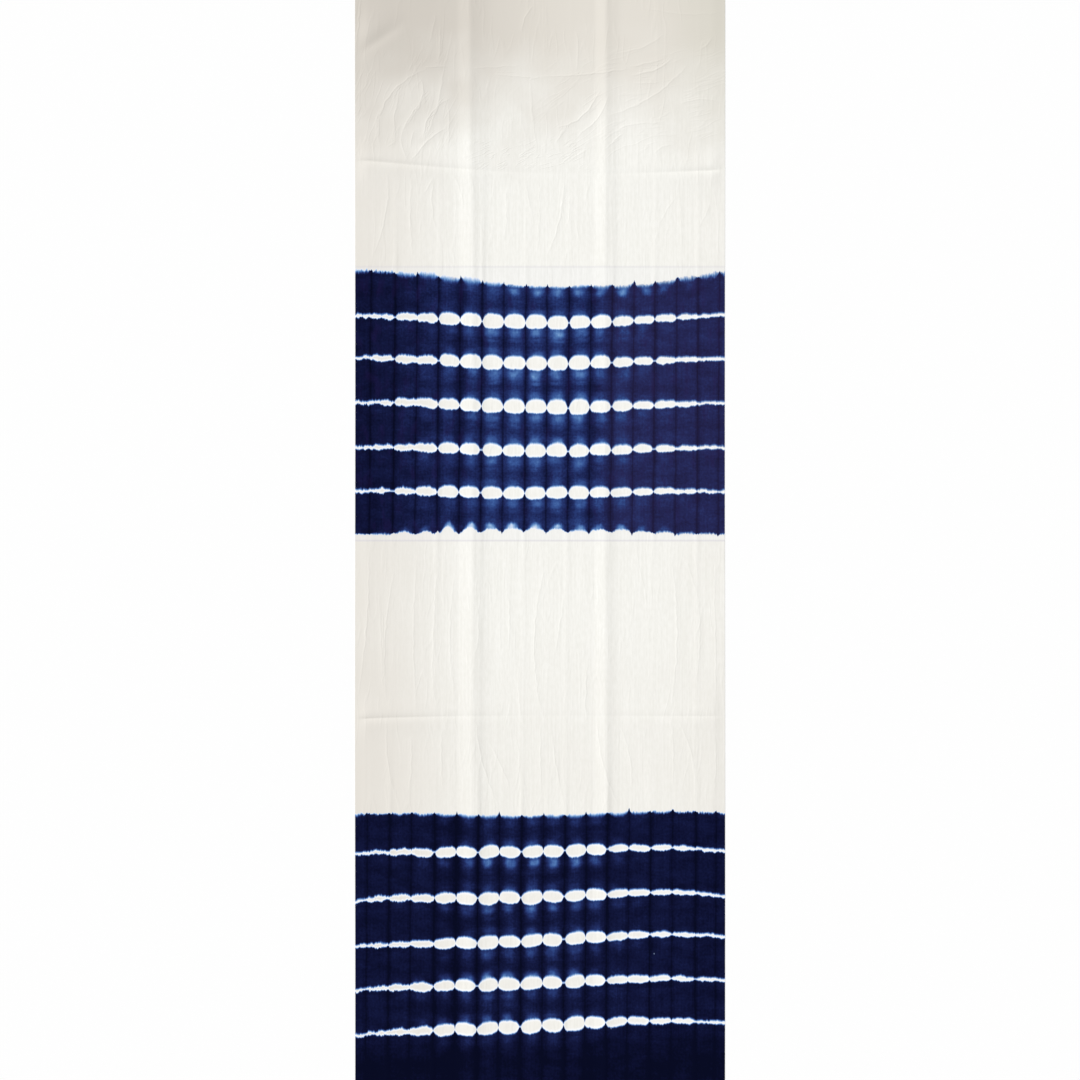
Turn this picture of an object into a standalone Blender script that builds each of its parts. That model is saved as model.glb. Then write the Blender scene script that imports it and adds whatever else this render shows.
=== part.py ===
"""A shibori dyed cotton cloth, lying face up and opened out flat.

The cloth is one woven length with its selvedges at -X and +X and its cut ends at -Y and +Y. It was
pleated lengthwise, bound and dipped in indigo, then pressed, folded in three lengthwise and folded
across. Opened out again it keeps all of those creases, and they are what gives the sheet its relief:

- pleat ridges, one at every second pleat line, with flat strips between them that touch the surface;
- two lengthwise press folds, each an even flank with one beside it that drops and runs out;
- two cross folds, each a groove between two low shoulders;
- a few stray creases near the +Y end, where the cloth was left undyed.

Metres, +Z up. The origin is under the middle of the sheet, on the surface that it lies on.
"""

import math

import bmesh
import bpy

CLOTH_WIDTH = 0.340
CLOTH_LENGTH = 1.000
CLOTH_THICKNESS = 0.001

PLEAT_COUNT = 17
PLEAT_PITCH = 0.02005
FIRST_PLEAT_FROM_LEFT = 0.0125
PLEAT_LEAN = 0.0067
RIDGE_RISE = 0.00038
RIDGE_HALF_WIDTH = 0.0050

# A ridge's rise wanders by this share along two slow waves, in radians a metre, and each ridge
# starts them at its own place.
RIDGE_UNEVENNESS = 0.85
RIDGE_WAVES = (9.0, 4.1)
RIDGE_WAVE_STEPS = (2.4, -1.3)

STRAY_CREASE_HALF_WIDTH = 0.0060
STRAY_CREASE_FADE = 0.7
LEAST_LIFT = 0.00004
SELVEDGE_REST = 0.0090

ROW_SPACING = 0.0340
LEAST_COLUMN_GAP = 0.0021
LEAST_ROW_GAP = 0.0040
FOLD_ROW_REACH = 0.050

# The edges waver inwards by these sizes. The higher the hold, the nearer to the edge it fades out.
SELVEDGE_WAVER = 0.0003
SELVEDGE_HOLD = 12
CUT_END_WAVER = 0.0010
CUT_END_HOLD = 30

COTTON_COLOUR = (0.83, 0.81, 0.77, 1.0)
INDIGO_COLOUR = (0.012, 0.016, 0.085, 1.0)
CLOTH_ROUGHNESS = 0.92

# Lengthwise press folds: crest across the cloth, rise, width of the even flank on its left and of the
# one on its right, which is steep at the crest and runs out.
PRESS_FOLDS = (
    {"crest": -0.0616, "rise": 0.0014, "slow": 0.0138, "steep": 0.0200},
    {"crest": 0.0606, "rise": 0.0012, "slow": 0.0110, "steep": 0.0150},
)

# Cross folds: how far its shoulders stand from the groove, then the groove's place along the cloth and
# the shoulders' rise, both at the left selvedge, in the middle and at the right selvedge.
CROSS_FOLDS = (
    {"shoulder": 0.0065, "along": (0.3492, 0.3368, 0.3400), "rise": (0.0011, 0.0002, 0.0011)},
    {"shoulder": 0.0065, "along": (-0.1645, -0.1613, -0.1617), "rise": (0.0010, 0.0002, 0.0005)},
)

# Stray creases: straight ridges from one place to another, which fade out at both ends.
STRAY_CREASES = (
    {"start": (-0.110, 0.432), "end": (-0.149, 0.377), "rise": 0.0004},
    {"start": (-0.083, 0.405), "end": (-0.121, 0.349), "rise": 0.0004},
    {"start": (-0.045, 0.427), "end": (0.115, 0.442), "rise": 0.0005},
    {"start": (0.009, 0.379), "end": (0.052, 0.412), "rise": 0.0004},
    {"start": (0.055, 0.386), "end": (0.115, 0.415), "rise": 0.0004},
    {"start": (0.032, 0.478), "end": (0.034, 0.432), "rise": 0.0003},
)

# Wavers of the outline: radians a metre along that edge, and where the wave starts.
EDGE_WAVES = {
    "left": (11.0, 0.0),
    "right": (8.0, 1.0),
    "lower": (14.0, 0.6),
    "upper": (17.0, -0.9),
}

# Dyed bands, by the places along the cloth where they end. The second runs to the cut end.
DYED_BANDS = (
    {"upper": 0.2380, "lower": 0.0055},
    {"upper": -0.2520, "lower": -0.5000},
)


def clear_scene():
    for old in list(bpy.data.objects):
        bpy.data.objects.remove(old, do_unlink=True)


def raised_cosine(distance, half_width):
    """1 on the line and 0 from half_width away, with no corner at either."""
    if abs(distance) >= half_width:
        return 0.0
    return 0.5 + 0.5 * math.cos(math.pi * distance / half_width)


def pleat_line(number, along):
    """Where a pleat line crosses, at that place along the cloth. All lines lean a little to one side."""
    first = FIRST_PLEAT_FROM_LEFT - CLOTH_WIDTH / 2
    return first + number * PLEAT_PITCH + PLEAT_LEAN * along


def ridge_lift(across, along):
    """Every second pleat line was folded outwards and stands up as a ridge of uneven height."""
    lift = 0.0
    for number in range(1, PLEAT_COUNT, 2):
        wander = RIDGE_UNEVENNESS
        for wave, step in zip(RIDGE_WAVES, RIDGE_WAVE_STEPS):
            wander *= math.sin(wave * along + step * number)
        distance = across - pleat_line(number, along)
        lift += RIDGE_RISE * (1.0 + wander) * raised_cosine(distance, RIDGE_HALF_WIDTH)
    return lift


def press_fold_lift(across):
    """A lengthwise press fold climbs evenly from the left, and falls away as a square on the right."""
    lift = 0.0
    for fold in PRESS_FOLDS:
        distance = across - fold["crest"]
        if distance < 0:
            lift += fold["rise"] * max(0.0, 1.0 + distance / fold["slow"])
        else:
            lift += fold["rise"] * max(0.0, 1.0 - distance / fold["steep"]) ** 2
    return lift


def across_the_cloth(values, across):
    """The smooth curve through the values at the left selvedge, the middle and the right selvedge."""
    left, middle, right = values
    share = across / (CLOTH_WIDTH / 2)
    return middle + (right - left) / 2 * share + ((left + right) / 2 - middle) * share**2


def cross_fold_lift(across, along):
    """Nothing in the groove, highest at the shoulders beside it, then fading away from them."""
    lift = 0.0
    for fold in CROSS_FOLDS:
        groove = across_the_cloth(fold["along"], across)
        rise = across_the_cloth(fold["rise"], across)
        steps = abs(along - groove) / fold["shoulder"]
        lift += rise * steps * math.exp(1.0 - steps)
    return lift


def stray_crease_lift(across, along):
    lift = 0.0
    for crease in STRAY_CREASES:
        (x0, y0), (x1, y1) = crease["start"], crease["end"]
        length = math.hypot(x1 - x0, y1 - y0)
        run = ((across - x0) * (x1 - x0) + (along - y0) * (y1 - y0)) / length
        aside = ((across - x0) * (y1 - y0) - (along - y0) * (x1 - x0)) / length
        fade = raised_cosine(run - length / 2, STRAY_CREASE_FADE * length)
        lift += crease["rise"] * fade * raised_cosine(aside, STRAY_CREASE_HALF_WIDTH)
    return lift


def rest_share(across):
    """0 on both selvedges, where the cloth lies flat, and 1 from SELVEDGE_REST in."""
    share = min(1.0, (CLOTH_WIDTH / 2 - abs(across)) / SELVEDGE_REST)
    return share**2 * (3.0 - 2.0 * share)


def lift_at(across, along):
    """How far the underside stands off the surface. What is nearly flat is let down flat."""
    lift = rest_share(across) * (
        ridge_lift(across, along)
        + press_fold_lift(across)
        + cross_fold_lift(across, along)
        + stray_crease_lift(across, along)
    )
    return lift if lift > LEAST_LIFT else 0.0


def thinned(places, least_gap):
    """The places in order, without those that crowd the one before. The first and last stay."""
    ordered = sorted(places)
    kept = [ordered[0]]
    for place in ordered[1:-1]:
        if place - kept[-1] >= least_gap and ordered[-1] - place >= least_gap:
            kept.append(place)
    return kept + [ordered[-1]]


def column_places():
    """Columns stand on the selvedges, on the pleat lines, on their ridges and on the press folds."""
    crests = [fold["crest"] for fold in PRESS_FOLDS]
    places = [-CLOTH_WIDTH / 2, SELVEDGE_REST - CLOTH_WIDTH / 2]
    places += [CLOTH_WIDTH / 2 - SELVEDGE_REST, CLOTH_WIDTH / 2]
    for fold in PRESS_FOLDS:
        crest, slow, steep = fold["crest"], fold["slow"], fold["steep"]
        places += [crest - slow, crest - slow / 2, crest]
        places += [crest + steep / 4, crest + steep / 2, crest + steep]
    for number in range(PLEAT_COUNT):
        offsets = (-1.0, -0.5, 0.0, 0.5, 1.0) if number % 2 else (0.0,)
        for offset in offsets:
            place = pleat_line(number, 0.0) + offset * RIDGE_HALF_WIDTH
            if min(abs(place - crest) for crest in crests) > LEAST_COLUMN_GAP:
                places.append(place)
    return thinned(places, LEAST_COLUMN_GAP)


def row_places():
    """Rows stand on the cut ends, the band edges and the cross folds, with even rows between them."""
    places = [-CLOTH_LENGTH / 2, CLOTH_LENGTH / 2]
    for fold in CROSS_FOLDS:
        for steps in (-3.0, -1.8, -1.0, -0.5, 0.0, 0.5, 1.0, 1.8, 3.0):
            places.append(fold["along"][1] + steps * fold["shoulder"])
    for band in DYED_BANDS:
        places += [band["upper"], band["lower"]]
    places = thinned(places, LEAST_ROW_GAP)
    filled = []
    for low, high in zip(places, places[1:]):
        parts = max(1, math.ceil((high - low) / ROW_SPACING))
        filled += [low + (high - low) * part / parts for part in range(parts)]
    return filled + [places[-1]]


def follow_pleats(column, along):
    """Columns lean with the pleat lines, but not at the selvedges or on the press folds."""
    to_crests = [abs(column - fold["crest"]) for fold in PRESS_FOLDS]
    nearest = min([CLOTH_WIDTH / 2 - abs(column)] + to_crests)
    return column + PLEAT_LEAN * along * min(1.0, nearest / PLEAT_PITCH)


def follow_cross_folds(row, across):
    """Rows near a cross fold bend with it."""
    place = row
    for fold in CROSS_FOLDS:
        middle = fold["along"][1]
        bend = across_the_cloth(fold["along"], across) - middle
        place += bend * raised_cosine(row - middle, FOLD_ROW_REACH)
    return place


def edge_waver(edge, size, place):
    wave, start = EDGE_WAVES[edge]
    return size * (0.5 + 0.5 * math.sin(wave * place + start))


def drawn_in(across, along):
    """The point moved in from the full rectangle's edges, by a waver on each."""
    from_left = across / CLOTH_WIDTH + 0.5
    from_lower = along / CLOTH_LENGTH + 0.5
    left = edge_waver("left", SELVEDGE_WAVER, along)
    right = edge_waver("right", SELVEDGE_WAVER, along)
    lower = edge_waver("lower", CUT_END_WAVER, across)
    upper = edge_waver("upper", CUT_END_WAVER, across)
    move_across = left * (1.0 - from_left) ** SELVEDGE_HOLD - right * from_left**SELVEDGE_HOLD
    move_along = lower * (1.0 - from_lower) ** CUT_END_HOLD - upper * from_lower**CUT_END_HOLD
    return across + move_across, along + move_along


def sheet_point(column, row):
    """The underside's point for a column and a row of the sheet."""
    across = follow_pleats(column, row)
    along = follow_cross_folds(row, across)
    lift = lift_at(across, along)
    across, along = drawn_in(across, along)
    return across, along, lift


def make_material(name, colour):
    material = bpy.data.materials.new(name)
    material.use_nodes = True
    shader = material.node_tree.nodes["Principled BSDF"]
    shader.inputs["Base Color"].default_value = colour
    shader.inputs["Roughness"].default_value = CLOTH_ROUGHNESS
    shader.inputs["Metallic"].default_value = 0.0
    material.diffuse_color = colour
    return material


def is_dyed(along):
    return any(band["lower"] < along < band["upper"] for band in DYED_BANDS)


def grid_number(coordinate, count):
    """Which column or row a unit grid's coordinate, from -1 to 1, belongs to. Between two is a half."""
    return (coordinate + 1.0) / 2.0 * (count - 1)


def make_cloth(collection):
    """An open sheet on the folds, given its thickness upwards, so that its flat strips rest."""
    columns, rows = column_places(), row_places()
    bm = bmesh.new()
    bmesh.ops.create_grid(bm, x_segments=len(columns) - 1, y_segments=len(rows) - 1, size=1.0)
    for face in bm.faces:
        below = int(grid_number(face.calc_center_median().y, len(rows)))
        face.material_index = int(is_dyed((rows[below] + rows[below + 1]) / 2))
        face.smooth = True
    for vert in bm.verts:
        column = columns[round(grid_number(vert.co.x, len(columns)))]
        row = rows[round(grid_number(vert.co.y, len(rows)))]
        vert.co = sheet_point(column, row)
    mesh = bpy.data.meshes.new("cloth")
    bm.to_mesh(mesh)
    bm.free()
    mesh.materials.append(make_material("undyed cotton", COTTON_COLOUR))
    mesh.materials.append(make_material("indigo dyed cotton", INDIGO_COLOUR))
    cloth = bpy.data.objects.new("cloth", mesh)
    collection.objects.link(cloth)
    thickness = cloth.modifiers.new("thickness", "SOLIDIFY")
    thickness.thickness = CLOTH_THICKNESS
    thickness.offset = 1.0


def main():
    clear_scene()
    collection = bpy.data.collections.new("shibori cloth")
    bpy.context.scene.collection.children.link(collection)
    make_cloth(collection)


main()
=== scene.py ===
import math
from collections import namedtuple

import bpy
import numpy as np
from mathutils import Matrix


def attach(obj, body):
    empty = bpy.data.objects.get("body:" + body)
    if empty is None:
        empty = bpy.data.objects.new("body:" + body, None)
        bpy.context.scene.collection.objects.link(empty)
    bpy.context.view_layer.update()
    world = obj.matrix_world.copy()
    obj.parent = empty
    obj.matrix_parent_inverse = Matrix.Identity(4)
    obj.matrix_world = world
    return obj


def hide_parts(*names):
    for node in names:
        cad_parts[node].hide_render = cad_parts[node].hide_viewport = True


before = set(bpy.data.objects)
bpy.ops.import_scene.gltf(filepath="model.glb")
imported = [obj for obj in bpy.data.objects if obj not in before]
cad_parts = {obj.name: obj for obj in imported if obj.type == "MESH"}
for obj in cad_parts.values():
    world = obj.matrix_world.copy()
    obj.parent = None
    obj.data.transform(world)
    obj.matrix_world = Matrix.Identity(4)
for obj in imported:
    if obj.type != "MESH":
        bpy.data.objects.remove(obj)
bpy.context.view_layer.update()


def table(columns, rows):
    """Rows whose columns go by these names."""
    Row = namedtuple("Row", columns)
    return [Row(*row) for row in rows]


# Sizes of the cloth, in metres. +X is across it and +Y along it, from the middle of the sheet.
CLOTH_WIDTH = 0.340
CLOTH_LENGTH = 1.000
CLOTH_THICKNESS = 0.00025
MM = 0.001

# Pleats. Their lines are counted from the left selvedge. Even ones are tight folds, and odd ones are
# wide folds, which stand up as ridges. A wander is what hand folding left, in mm off the even pitch.
PLEAT_COUNT = 17
PLEAT_PITCH = 0.02005
FIRST_PLEAT_FROM_LEFT = {"upper band": 0.01388, "lower band": 0.01084}
PLEAT_WANDER = {
    "upper band": (0, 2.2, 2.5, 2.4, 2.3, 2.2, 2.1, 2.4, 2.0, 1.9, 1.7, 1.4, 1.3, 0.6, 0.5, 0.4, 0),
    "lower band": (0, 0.5, 0.4, 1.9, 1.8, 1.7, 1.4, 1.6, 1.6, 1.2, 0.9, 0.2, -0.1, -0.2, -0.1, 1.4, 0),
}
BAND_MIDDLE = {"upper band": 0.147, "lower band": -0.312}
COLUMNS_A_PLEAT = 12
COLUMNS_AT_LEFT = 9
COLUMNS_AT_RIGHT = 4

# Lines across the cloth, from the upper end down. "row" is a line's number in the dye pattern, where
# one row is LINE_GAP. "along" is its place in mm at the left selvedge, the left quarter, the middle,
# the right quarter and the right selvedge. "rows" is how many mesh rows lead down to the next line,
# and "crowd" how they crowd: towards this line above 1, towards the next one below -1.
LINE_GAP = 0.0395
PLACES_ACROSS = (-0.170, -0.085, 0.0, 0.085, 0.170)
LINES = table("row along rows crowd", (
    (-5, (500, 500, 500, 500, 500), 78, -1.1),  # upper end
    (-1, (349, 342, 337, 337, 340), 34, 1.4),  # upper cross fold
    (2, (246.7, 239.8, 233.9, 237.4, 248.4), 5, 1),  # upper band's top edge
    (3, (205.8, 202.3, 199.4, 201.5, 207.0), 5, 1),  # its stitching
    (4, (167.5, 164.2, 161.9, 163.6, 166.3), 5, 1),
    (5, (126.0, 124.2, 121.3, 123.0, 125.4), 5, 1),
    (6, (84.3, 83.8, 81.5, 82.9, 84.3), 5, 1),
    (7, (45.1, 44.0, 42.8, 44.0, 44.5), 5, 1),
    (8, (5.3, 5.3, 5.3, 5.3, 5.3), 36, -1.5),  # its bottom edge
    (12, (-164.5, -162, -161.3, -161.5, -161.7), 24, 1.5),  # lower cross fold
    (14, (-252.4, -252.0, -253.2, -250.3, -250.9), 5, 1),  # lower band's top edge
    (15, (-288.4, -286.7, -286.0, -283.2, -286.0), 5, 1),  # its stitching
    (16, (-332.4, -328.7, -328.2, -324.2, -327.1), 5, 1),
    (17, (-373.5, -370.9, -368.1, -363.4, -364.6), 5, 1),
    (18, (-413.8, -410.2, -407.9, -403.7, -405.1), 5, 1),
    (19, (-455.2, -450.6, -446.6, -442.6, -444.2), 5, 1),
    (20, (-500, -500, -500, -500, -500), 0, 1),  # lower end
))

# What the stitching left at each of its lines: the undyed blobs' reach above and below the stitches,
# in mm, how strong the pale blue halos above and below them are, and at which pleat they are strongest
# and how far from it they fade, in pleats.
STITCHING = table("row above below halo_above halo_below middle spread", (
    (3, 7.5, 6.0, 0.20, 0.48, 8.2, 4.6),
    (4, 7.6, 5.9, 0.42, 0.60, 7.2, 3.9),
    (5, 7.2, 5.8, 0.34, 0.46, 8.5, 4.8),
    (6, 6.7, 5.4, 0.50, 0.38, 7.3, 4.5),
    (7, 6.5, 5.4, 0.14, 0.32, 8.0, 5.0),
    (15, 6.6, 6.0, 0.42, 0.70, 7.2, 3.6),
    (16, 5.9, 6.2, 0.26, 0.52, 7.5, 4.2),
    (17, 6.3, 5.9, 0.24, 0.30, 8.5, 4.5),
    (18, 6.6, 6.0, 0.66, 0.38, 6.0, 3.6),
    (19, 6.7, 6.0, 0.42, 0.12, 6.0, 3.8),
))

# How tightly the stitches were pulled, by pleat number. "full" is how full the blobs are between that
# pleat line and the next, and "pinch" how far the line itself closes them. Both are at most 1.
STITCH_PULL = {
    "pleat": (-1, 0, 1, 2, 3, 4, 5, 9, 10, 11, 12, 13, 14, 15, 16),
    "upper full": (0.27, 0.38, 0.56, 0.68, 0.86, 0.94, 1, 1, 0.92, 0.72, 0.64, 0.56, 0.42, 0.30, 0.27),
    "upper pinch": (0, 0.4, 0.95, 0.5, 1, 1, 1, 1, 1, 0.9, 0.85, 0.8, 0.45, 0.4, 0.2),
    "lower full": (0.27, 0.34, 0.5, 0.62, 0.84, 0.95, 1, 0.97, 0.88, 0.68, 0.6, 0.47, 0.4, 0.28, 0.27),
    "lower pinch": (0.2, 0.4, 0.5, 0.65, 0.75, 1, 1, 1, 1, 0.75, 0.65, 0.6, 0.75, 0.4, 0.2),
}
FIRST_ROW_OF_LOWER_BAND = 11.0

# The upper band's edges, by pleat number. Its top edge stands inside its line by "set back" and goes
# over into the cotton along "fringe", both in mm, with a halo inside it. Its bottom edge stands off its
# line by "dome", in mm, with a pale flame beyond that.
BAND_EDGES = {
    "pleat": (0, 1, 2, 3, 4, 5, 6, 8, 9, 10, 11, 12, 13, 14, 15),
    "set back": (0, 1.2, -0.2, 0.9, 0.5, 1.6, 2.0, 2.4, 2.0, 3.3, 4.5, 5.5, 5.2, 3.7, 4.0),
    "fringe": (6, 7.5, 9, 11, 11, 7, 5.7, 5.7, 5.7, 5.7, 5.7, 7.2, 10, 9, 8),
    "halo": (0, 0, 0, 0, 0.1, 0.1, 0.5, 0.55, 0.55, 0.55, 0.6, 0.5, 0.35, 0.15, 0),
    "dome": (0.5, 2.9, 3.3, 7.5, 7.0, 6.4, 5.7, 5.4, 4.5, 4.3, 4.1, 2.8, 2.9, 1.4, 1.0),
    "flame": (0.1, 0.35, 0.5, 1.0, 0.95, 1.0, 0.92, 1.0, 0.85, 0.55, 0.6, 0.3, 0.2, 0, 0),
}

# How deep the dye is all over, what both sides, the lower band and its end add to it, and the most that
# it comes to before that end. Then strips of painted shade beside the press folds, added as deeper dye:
# their pleat numbers, half widths in pleats and added depths.
DEPTH = {"all over": 0.98, "left": 0.33, "right": 0.08, "lower band": 0.17, "end": 0.14, "most": 1.21}
ROW_AT_LOWER_END = 19.1
PAINTED_FOLD_SHADE_STRIPS = (
    {"pleat": 4.0, "half_width": 0.9, "depth": 0.09},
    {"pleat": 10.35, "half_width": 0.7, "depth": 0.07},
)

# The outline. Each edge wavers inwards by a size, at so many radians a metre, from a start. The higher
# the hold, the nearer to its edge a waver fades out.
EDGE_WAVERS = {
    "left": (0.0003, 11.0, 0.0),
    "right": (0.0003, 8.0, 1.0),
    "lower": (0.0010, 14.0, 0.6),
    "upper": (0.0010, 17.0, -0.9),
}
SELVEDGE_HOLD = 12
CUT_END_HOLD = 30

# Relief. Ridges stand on the wide folds, and their rise wanders along two slow waves. They are strong
# in the bands, weaker between them and nearly pressed out above the upper cross fold.
RIDGE_RISE = 0.00032
RIDGE_HALF_WIDTH = 0.0034
TIGHT_FOLD_RISE = 0.00010
TIGHT_FOLD_SHOULDER = 0.0022
RIDGE_UNEVENNESS = 0.85
RIDGE_WAVES = (9.0, 4.1)
RIDGE_WAVE_STEPS = (2.4, -1.3)
RIDGE_STRENGTH = {
    "along": (-0.24, -0.20, -0.03, 0.02, 0.23, 0.28, 0.33, 0.37),
    "share": (1.00, 0.35, 0.35, 1.00, 1.00, 0.40, 0.30, 0.10),
}
SELVEDGE_REST = 0.013
SWELL_RISE = 0.00012

# Lengthwise press folds, each with a slow flank on the left of its crest and a steep one on the right.
# They change between two places along the cloth, the lower band and the upper end.
PRESS_FOLD_PLACES = (0.26, 0.40)
PRESS_FOLDS = (
    {"crest": (-0.0612, -0.0640), "rise": (0.0014, 0.0013), "slow": (0.0138, 0.0115),
     "steep": (0.0200, 0.0226)},
    {"crest": (0.0605, 0.0610), "rise": (0.0011, 0.0012), "slow": (0.0110, 0.0105),
     "steep": (0.0150, 0.0150)},
)

CROSS_FOLDS = (
    {"line": 1, "shoulder": 0.0055, "rise": (0.0010, 0.0005, 0.0001, 0.0002, 0.0010)},
    {"line": 9, "shoulder": 0.0055, "rise": (0.0009, 0.0004, 0.0001, 0.0002, 0.0004)},
)

# Creases: start, bend, end and rise. Each leaves its start towards its bend and comes from there to its
# end, in mm across and along. Its rise is that of its thin crest, in mm.
FAN_AT_UPPER_LEFT = (
    ((-106, 433), (-158, 408), (-147, 361), 0.13),
    ((-111, 425), (-98, 409), (-127, 376), 0.13),
    ((-128, 414), (-137, 390), (-133, 364), 0.11),
    ((-89, 431), (-91, 400), (-105, 369), 0.12),
    ((-83, 406), (-108, 394), (-107, 366), 0.14),
    ((-86, 379), (-103, 371), (-119, 347), 0.13),
    ((-101, 412), (-125, 386), (-128, 369), 0.13),
    ((-128, 372), (-128, 360), (-121, 350), 0.11),
    ((-115, 376), (-119, 370), (-119, 360), 0.10),
    ((-106, 433), (-96, 436), (-85, 434), 0.13),
    ((-92, 471), (-91, 455), (-93, 437), 0.09),
    ((-96, 483), (-98, 470), (-101, 457), 0.08),
    ((-85, 402), (-82, 380), (-85, 358), 0.10),
    ((-147, 396), (-154, 380), (-147, 362), 0.09),
    ((-140, 361), (-134, 364), (-132, 371), 0.09),
    ((-165, 500), (-166, 478), (-169, 455), 0.15),
)
UPPER_MIDDLE_AND_RIGHT = (
    ((-6, 491), (-15, 482), (-17, 467), 0.10),
    ((-62, 433), (-41, 434), (-19, 436), 0.09),
    ((-41, 428), (-24, 425), (6, 425), 0.12),
    ((-9, 423), (-8, 397), (-5, 371), 0.06),
    ((0, 426), (42, 426), (82, 433), 0.14),
    ((84, 427), (108, 429), (121, 442), 0.15),
    ((82, 435), (99, 437), (114, 443), 0.11),
    ((68, 447), (93, 448), (114, 465), 0.09),
    ((86, 420), (97, 419), (109, 421), 0.09),
    ((33, 431), (37, 450), (33, 468), 0.08),
    ((55, 413), (42, 382), (15, 379), 0.15),
    ((63, 408), (55, 382), (36, 373), 0.13),
    ((24, 378), (19, 374), (15, 365), 0.11),
    ((62, 390), (104, 399), (136, 437), 0.11),
    ((129, 401), (143, 407), (165, 403), 0.11),
    ((70, 375), (80, 385), (114, 383), 0.09),
    ((66, 363), (69, 369), (76, 373), 0.09),
    ((105, 355), (110, 363), (123, 363), 0.08),
    ((93, 491), (124, 480), (165, 485), 0.07),
    ((148, 451), (154, 454), (157, 461), 0.09),
)
ABOVE_THE_UPPER_BAND = (
    ((-140, 336), (-137, 300), (-153, 262), 0.10),
    ((-118, 333), (-121, 296), (-117, 260), 0.09),
    ((-97, 330), (-103, 314), (-95, 284), 0.09),
    ((-106, 319), (-102, 325), (-98, 333), 0.09),
    ((-80, 335), (-74, 326), (-71, 312), 0.09),
    ((-14, 330), (-11, 312), (-6, 294), 0.07),
    ((22, 331), (22, 296), (7, 262), 0.11),
    ((128, 320), (130, 296), (130, 264), 0.06),
    ((125, 315), (118, 306), (109, 291), 0.07),
    ((156, 309), (153, 300), (146, 287), 0.07),
    ((-31, 322), (-29, 300), (-33, 275), 0.08),
    ((-1, 330), (1, 295), (-3, 262), 0.07),
    ((28, 318), (25, 300), (29, 280), 0.06),
)
BETWEEN_THE_BANDS = (
    ((-157, -8), (-156, -70), (-167, -143), 0.10),
    ((-134, -28), (-148, -95), (-141, -150), 0.10),
    ((-113, -14), (-119, -81), (-114, -156), 0.09),
    ((-94, -24), (-100, -92), (-98, -154), 0.09),
    ((-78, -30), (-88, -88), (-78, -146), 0.09),
    ((-32, -33), (-25, -69), (-30, -108), 0.08),
    ((5, -24), (-14, -92), (2, -163), 0.11),
    ((22, -50), (19, -78), (13, -108), 0.07),
    ((120, -14), (132, -83), (120, -156), 0.10),
    ((135, -20), (139, -33), (145, -50), 0.08),
    ((159, -24), (163, -92), (161, -152), 0.09),
    ((-142, -173), (-141, -200), (-136, -228), 0.10),
    ((-90, -173), (-92, -200), (-89, -228), 0.10),
    ((-59, -167), (-56, -208), (-38, -244), 0.12),
    ((-47, -186), (-37, -202), (-27, -230), 0.11),
    ((1, -167), (0, -197), (1, -228), 0.08),
    ((10, -174), (14, -209), (22, -243), 0.09),
    ((52, -168), (56, -214), (73, -246), 0.10),
    ((72, -168), (86, -194), (84, -228), 0.09),
    ((128, -167), (139, -186), (143, -220), 0.10),
    ((120, -165), (124, -198), (122, -228), 0.08),
    ((-147, -58), (-146, -100), (-144, -140), 0.08),
    ((-58, -60), (-54, -85), (-60, -110), 0.08),
    ((-19, -110), (-21, -140), (-17, -165), 0.07),
    ((44, -110), (40, -140), (43, -168), 0.10),
    ((145, -45), (149, -90), (144, -130), 0.08),
    ((-119, -180), (-116, -205), (-121, -232), 0.09),
    ((-22, -182), (-15, -205), (-24, -230), 0.08),
    ((160, -175), (163, -205), (160, -235), 0.08),
)
CREASES = table("start bend end rise", FAN_AT_UPPER_LEFT + UPPER_MIDDLE_AND_RIGHT
                + ABOVE_THE_UPPER_BAND + BETWEEN_THE_BANDS)
CREASE_STEPS = 6
CREASE_FOOT = 3.6
FOOT_RISE_SHARE = 1.5
CREST_WIDTH = 1.3
CREST_SHOWN_TO = 2.2

# A broad hollow near the upper left corner: the way of its bottom and how far its two shoulders stand
# off and rise, all in mm.
HOLLOW = {"start": (-168, 446), "end": (-130, 471), "shoulders": (14.0, 7.0), "rises": (1.2, 0.45)}
HOLLOW_FADE = 0.9


def smoothed(values, places=PLACES_ACROSS):
    """The curve of the fourth degree through five values, as a function of the place across."""
    return np.poly1d(np.polyfit(places, values, len(places) - 1))


def raised_cosine(distance, half_width):
    """1 on the line and 0 from half_width away, along half a cosine wave."""
    share = np.clip(np.abs(distance) / half_width, 0.0, 1.0)
    return 0.5 + 0.5 * np.cos(np.pi * share)


def stitch_pull(pleat, row, name):
    """A column of the stitches' pull for each point, read evenly between pleats, by the point's band."""
    upper, lower = (np.interp(pleat, STITCH_PULL["pleat"], STITCH_PULL[band + " " + name])
                    for band in ("upper", "lower"))
    return np.where(row < FIRST_ROW_OF_LOWER_BAND, upper, lower)


def pleat_lines(along):
    """Each pleat line's place across, for every place along: straight from one band to the other."""
    share = (BAND_MIDDLE["upper band"] - along) / (BAND_MIDDLE["upper band"] - BAND_MIDDLE["lower band"])
    numbers = np.arange(PLEAT_COUNT)
    ends = {}
    for band, first in FIRST_PLEAT_FROM_LEFT.items():
        ends[band] = first - CLOTH_WIDTH / 2 + numbers * PLEAT_PITCH + np.array(PLEAT_WANDER[band]) * MM
    lower, upper = ends["lower band"], ends["upper band"]
    shape = (PLEAT_COUNT,) + (1,) * np.ndim(share)
    return upper.reshape(shape) + share * (lower - upper).reshape(shape)


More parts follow.
